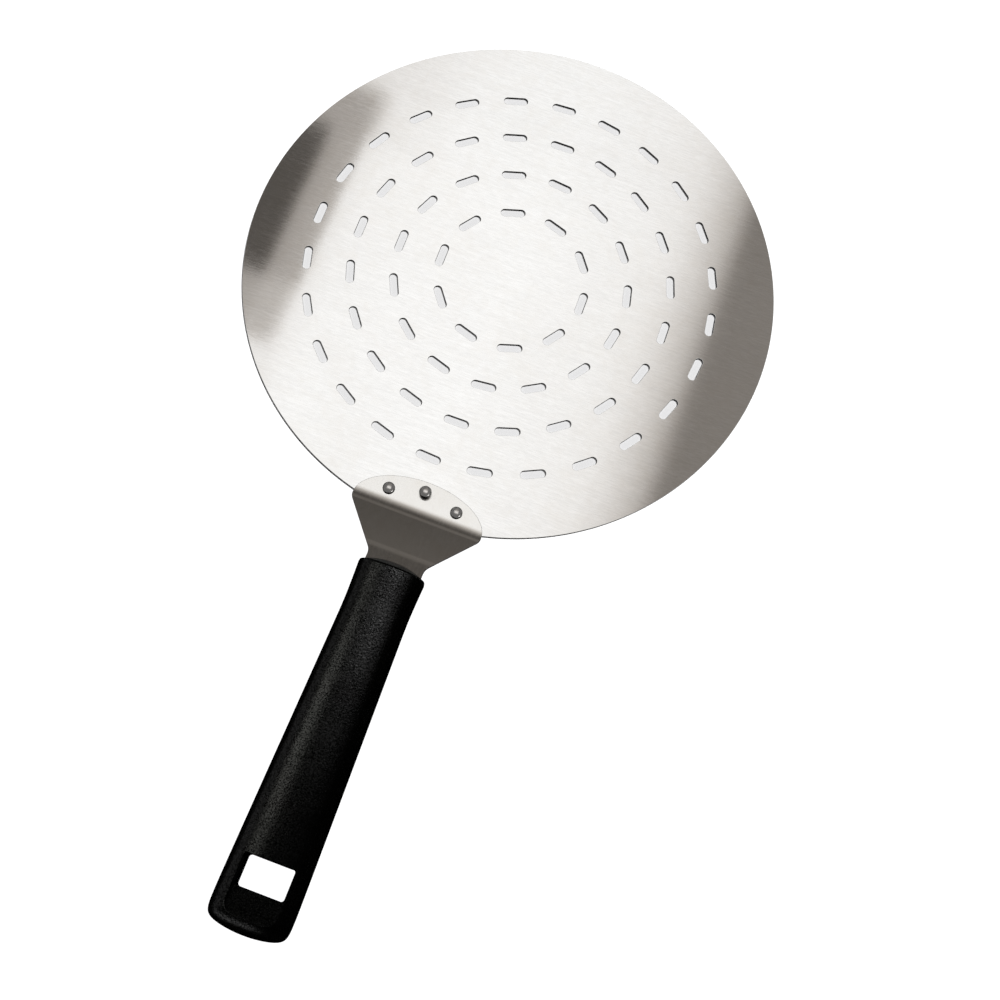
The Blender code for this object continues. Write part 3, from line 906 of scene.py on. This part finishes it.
PANEL_HEIGHT = 3.0
NECK_BOX_ACROSS = (-1.2, 0.9)
CEILING_REACH = 12.0
CEILING_LEFT, CEILING_RIGHT, CEILING_NEAR, CEILING_FAR = -1.7, 1.1, -0.2, 3.1
CEILING_RADIANCE = 0.9
WALL_COUNT = 8
WALL_DISTANCE = 3.2
WALL_HEIGHT = 0.75
WALL_SIZE = (2.4, 1.4)
WALL_RADIANCE = 0.30

# The lights of the plastic pieces: name, across, along, height, radiance, colour.
PLASTIC_PANELS = (
    ("ceiling_grip", (-12.0, 0.0), (-12.0, -3.0), 3.0, 0.6, WHITE),
    ("grip_key", (-0.14, 0.26), (0.33, 0.40), 1.0, 16.0, WHITE),
    ("grip_right", (0.30, 0.75), (0.25, 0.45), 1.0, 0.9, WHITE),
    ("grip_left", (-0.95, -0.34), (-0.20, 0.25), 1.0, 1.05, OLIVE),
)

# The blade's softbox in strips: the strip's limits on the blade, its level, and the radiance
# from its left side inwards, against the place on the blade that mirrors it. Places in mm.
BLADE_BOX_STRIPS = (
    ("far", 72.0, 180.0, 0.965, ((-135.0, 1.20), (-92.0, 1.26), (-70.0, 1.36))),
    ("upper", 45.0, 72.0, 0.985, (
        (-135.0, 0.52), (-104.0, 0.54), (-97.0, 0.58), (-93.0, 0.75), (-89.0, 1.12),
        (-84.0, 1.30), (-70.0, 1.38),
    )),
    ("middle", -41.0, 45.0, 1.0, (
        (-135.0, 0.12), (-113.0, 0.12), (-110.5, 0.29), (-108.5, 0.51), (-102.0, 0.57),
        (-94.5, 0.63), (-92.5, 0.90), (-91.0, 1.34), (-80.0, 1.42),
    )),
    ("lower", -72.0, -41.0, 1.0, (
        (-135.0, 0.50), (-113.0, 0.58), (-106.0, 0.70), (-98.0, 0.74), (-94.0, 1.00),
        (-90.5, 1.34), (-80.0, 1.44),
    )),
    ("near", -170.0, -72.0, 1.0, ((-135.0, 1.28), (-94.0, 1.32), (-86.0, 1.42), (-75.0, 1.48))),
)
BLADE_BOX_RIGHT = (
    (-50.0, 1.48), (0.0, 1.50), (50.0, 1.40), (66.0, 1.31), (75.0, 1.15), (83.0, 0.96),
    (90.0, 0.76), (95.0, 0.52), (99.5, 0.32), (104.0, 0.29), (135.0, 0.30),
)
# Radiance of the neck's softbox against the angle from the vertical, in degrees.
NECK_BOX_ALONG = (
    (-4.0, 0.10), (4.0, 1.2), (9.0, 1.62), (15.0, 1.60), (18.0, 1.38), (22.0, 0.97),
    (25.7, 0.62), (29.3, 0.36), (32.7, 0.17), (36.0, 0.09), (42.0, 0.085), (44.0, 0.20),
    (50.0, 0.22), (52.0, 0.13), (54.0, 0.10), (64.0, 0.09),
)


def mirrored(place, eye):
    """Where the line from the camera goes, at the panels' height, once the blade mirrors it."""
    return place + (place - eye) * PANEL_HEIGHT / CAMERA_PLACE.z


def softbox_tint(radiance, peak):
    """A grey for the ramp that turns slightly warm where the softbox is dim."""
    share = radiance / peak
    return (share * (1.11 - 0.11 * share), share, share * (0.90 + 0.10 * share), 1.0)


def grade_softbox(light, stops, axis):
    """Give a softbox a radiance that follows (coordinate, radiance) stops along one axis."""
    light.use_nodes = True
    nodes, links = light.node_tree.nodes, light.node_tree.links
    start, end = stops[0][0], stops[-1][0]
    peak = max(radiance for place, radiance in stops)
    place = nodes.new("ShaderNodeNewGeometry")
    split = nodes.new("ShaderNodeSeparateXYZ")
    links.new(place.outputs["Position"], split.inputs["Vector"])
    spread = nodes.new("ShaderNodeMapRange")
    spread.inputs["From Min"].default_value = start
    spread.inputs["From Max"].default_value = end
    links.new(split.outputs[axis], spread.inputs["Value"])
    ramp = nodes.new("ShaderNodeValToRGB")
    points = ramp.color_ramp.elements
    points.remove(points[1])
    points[0].position = 0.0
    points[0].color = softbox_tint(stops[0][1], peak)
    for coordinate, radiance in stops[1:]:
        point = points.new((coordinate - start) / (end - start))
        point.color = softbox_tint(radiance, peak)
    links.new(spread.outputs["Result"], ramp.inputs["Fac"])
    links.new(ramp.outputs["Color"], nodes["Emission"].inputs["Color"])
    nodes["Emission"].inputs["Strength"].default_value = peak


def make_panel(name, across, along, height, radiance, lit, colour=WHITE):
    """A soft rectangular light that faces down and lights only the given collection."""
    light = bpy.data.lights.new(name, "AREA")
    light.shape = "RECTANGLE"
    light.size = across[1] - across[0]
    light.size_y = along[1] - along[0]
    light.energy = math.pi * light.size * light.size_y * radiance
    light.color = colour
    panel = bpy.data.objects.new(name, light)
    panel.location = (sum(across) / 2, sum(along) / 2, height)
    panel.visible_camera = False
    panel.light_linking.receiver_collection = lit
    bpy.context.scene.collection.objects.link(panel)
    return panel


def make_blade_box(lit):
    """The softbox that the blade mirrors, bright in the middle with graded sides."""
    for strip, low, high, level, left in BLADE_BOX_STRIPS:
        stops = []
        for place, radiance in left + BLADE_BOX_RIGHT:
            stops.append((mirrored(place * MM, CAMERA_PLACE.x), radiance * level))
        across = (stops[0][0], stops[-1][0])
        along = (mirrored(low * MM, CAMERA_PLACE.y), mirrored(high * MM, CAMERA_PLACE.y))
        panel = make_panel("softbox_" + strip, across, along, PANEL_HEIGHT, 1.0, lit)
        grade_softbox(panel.data, stops, "X")


def make_neck_box(lit):
    """The softbox that the neck and rivets mirror, which fades towards its far end."""
    start_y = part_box("neck_bracket")[1].y
    stops = []
    for degrees, level in NECK_BOX_ALONG:
        stops.append((start_y + PANEL_HEIGHT * math.tan(math.radians(degrees)), level))
    along = (stops[0][0], stops[-1][0])
    panel = make_panel("softbox_neck", NECK_BOX_ACROSS, along, PANEL_HEIGHT, 1.0, lit)
    grade_softbox(panel.data, stops, "Y")


def aim_panel(name, place, target, size, radiance, lit):
    """A soft rectangular light that faces a target and lights only the given collection."""
    panel = make_panel(name, (0.0, size[0]), (0.0, size[1]), 0.0, radiance, lit)
    panel.location = place
    panel.rotation_euler = (Vector(place) - Vector(target)).to_track_quat("Z", "Y").to_euler()
    return panel


def make_walls(lit):
    """Upright soft panels round the studio, seen in the steel from low angles."""
    centre = (0.0, 0.0, WALL_HEIGHT)
    for index in range(WALL_COUNT):
        turn = math.tau * index / WALL_COUNT
        place = (WALL_DISTANCE * math.sin(turn), WALL_DISTANCE * math.cos(turn), WALL_HEIGHT)
        aim_panel("wall_%d" % index, place, centre, WALL_SIZE, WALL_RADIANCE, lit)


def make_rivet_lights(lit):
    """A dim ceiling that greys the domes and a small bright panel low at their right."""
    make_panel("rivet_ceiling", (-7.0, 7.0), (-7.0, 7.0), 3.2, 0.30, lit)
    aim_panel("rivet_side", (2.0, -0.9, 1.25), (0.0, -0.12, 0.0), (0.9, 0.5), 4.0, lit)


def make_ceiling(lit):
    """Wide panels round the blade's softbox, seen in the blade from other sides."""
    everywhere = (-CEILING_REACH, CEILING_REACH)
    middle = (CEILING_LEFT, CEILING_RIGHT)
    panels = (
        ("ceiling_left", (-CEILING_REACH, CEILING_LEFT), everywhere),
        ("ceiling_right", (CEILING_RIGHT, CEILING_REACH), everywhere),
        ("ceiling_near", middle, (-CEILING_REACH, CEILING_NEAR)),
        ("ceiling_far", middle, (CEILING_FAR, CEILING_REACH)),
    )
    for name, across, along in panels:
        make_panel(name, across, along, PANEL_HEIGHT, CEILING_RADIANCE, lit)


def make_plastic_lights(lit):
    """Panels for the grip's two long highlights, its left flank and its far end."""
    for name, across, along, height, radiance, colour in PLASTIC_PANELS:
        make_panel(name, across, along, height, radiance, lit, colour)
    aim_panel("grip_wall", (-2.4, 0.0, 0.9), (0.0, -0.2, 0.0), (1.8, 1.6), 0.20, lit)


def make_floor_lights(lit, blade_only):
    """A sun that only the blade shades, so that the floor stays white round its thin shadow."""
    sun = bpy.data.lights.new("floor_sun", "SUN")
    sun.energy = FLOOR_SUN_STRENGTH
    sun.angle = FLOOR_SUN_ANGLE
    sun_object = bpy.data.objects.new("floor_sun", sun)
    sun_object.rotation_euler = FLOOR_SUN_FROM.to_track_quat("Z", "Y").to_euler()
    sun_object.light_linking.receiver_collection = lit
    sun_object.light_linking.blocker_collection = blade_only
    bpy.context.scene.collection.objects.link(sun_object)
    make_panel("floor_soft", *FLOOR_PANEL, lit)


def make_world():
    """White behind everything; it is seen but lights nothing."""
    world = bpy.data.worlds.new("studio")
    world.use_nodes = True
    background = world.node_tree.nodes["Background"]
    background.inputs["Color"].default_value = (1.0, 1.0, 1.0, 1.0)
    background.inputs["Strength"].default_value = BACKGROUND_LEVEL
    world.cycles_visibility.glossy = False
    world.cycles_visibility.diffuse = False
    bpy.context.scene.world = world


def make_floor():
    editor = bmesh.new()
    bmesh.ops.create_grid(editor, x_segments=8, y_segments=8, size=FLOOR_SIZE)
    floor = new_object("floor", mesh_from_bmesh("floor", editor))
    floor.location.z = -FLOOR_DEPTH
    floor.visible_glossy = False
    give_material(floor, pale_floor("pale_floor", FLOOR_SHADE))
    return floor


def make_painted_shade_sheet():
    """A slightly greyer sheet on the floor under the blade, seen only through its slots: painted
    shade for the blade's shade on the floor.
    """
    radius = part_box("blade")[1].x - PAINTED_SHADE_MARGIN
    outline = circle_points((0.0, 0.0), radius, PAINTED_SHADE_STEPS)
    editor = bmesh.new()
    editor.faces.new([editor.verts.new((x, y, -PAINTED_SHADE_DEPTH)) for x, y in outline])
    painted_shade_sheet = new_object("painted_shade_sheet", mesh_from_bmesh("painted_shade_sheet", editor))
    painted_shade_sheet.visible_glossy = False
    give_material(painted_shade_sheet, pale_floor("painted_shade_grey", UNDER_BLADE_PAINTED_SHADE))
    return painted_shade_sheet


def make_camera():
    data = bpy.data.cameras.new("camera")
    data.sensor_width = CAMERA_SENSOR
    data.lens = CAMERA_LENS
    data.clip_start = 0.01
    data.clip_end = 50.0
    camera = bpy.data.objects.new("camera", data)
    ahead = CAMERA_AHEAD.normalized()
    right = ahead.cross(CAMERA_UP).normalized()
    up = right.cross(ahead)
    axes = Matrix((right, up, -ahead)).transposed().to_4x4()
    camera.matrix_world = Matrix.Translation(CAMERA_PLACE) @ axes
    bpy.context.scene.collection.objects.link(camera)
    bpy.context.scene.camera = camera


def group(name, members):
    """A collection outside the scene that tells a light what it lights."""
    collection = bpy.data.collections.new(name)
    for member in members:
        collection.objects.link(member)
    return collection


def make_studio(blade, neck, rivets, plastics):
    make_world()
    floor = make_floor()
    # A greyer sheet under the blade paints the blade's shade on the floor.
    painted_shade_sheet = make_painted_shade_sheet()
    blade_only = group("lit_blade", [blade])
    make_blade_box(blade_only)
    make_neck_box(group("lit_neck", [neck, *rivets]))
    make_walls(group("lit_steel", [blade, neck, *rivets]))
    make_rivet_lights(group("lit_rivets", rivets))
    make_ceiling(blade_only)
    make_plastic_lights(group("lit_plastic", plastics))
    make_floor_lights(group("lit_floor", [floor, painted_shade_sheet]), blade_only)
    make_camera()
    bpy.context.scene.view_settings.view_transform = "Standard"
    bpy.context.scene.view_settings.look = "None"


# ---------------------------------------------------------------- assembly

def install(piece, node, material):
    """Give a piece its finish and put it in the place of its CAD node."""
    give_material(piece, material)
    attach(piece, BODY)
    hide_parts(node)


def main():
    blade = make_blade()
    blade_steel = brushed_steel("brushed_blade_steel", "X", BLADE_FINISH)
    install(blade, "blade", blade_steel)
    neck = make_neck()
    neck_steel = brushed_steel("brushed_neck_steel", "Y", NECK_FINISH)
    install(neck, "neck_bracket", neck_steel)
    rivets = make_rivets()
    rivet_steel = polished_steel()
    for piece, node in rivets:
        install(piece, node, rivet_steel)
    grip = make_grip()
    install(grip, "grip", grained_plastic())
    cap = make_cap()
    install(cap, "front_cap", smooth_plastic())
    make_studio(blade, neck, [piece for piece, node in rivets], [grip, cap])


main()
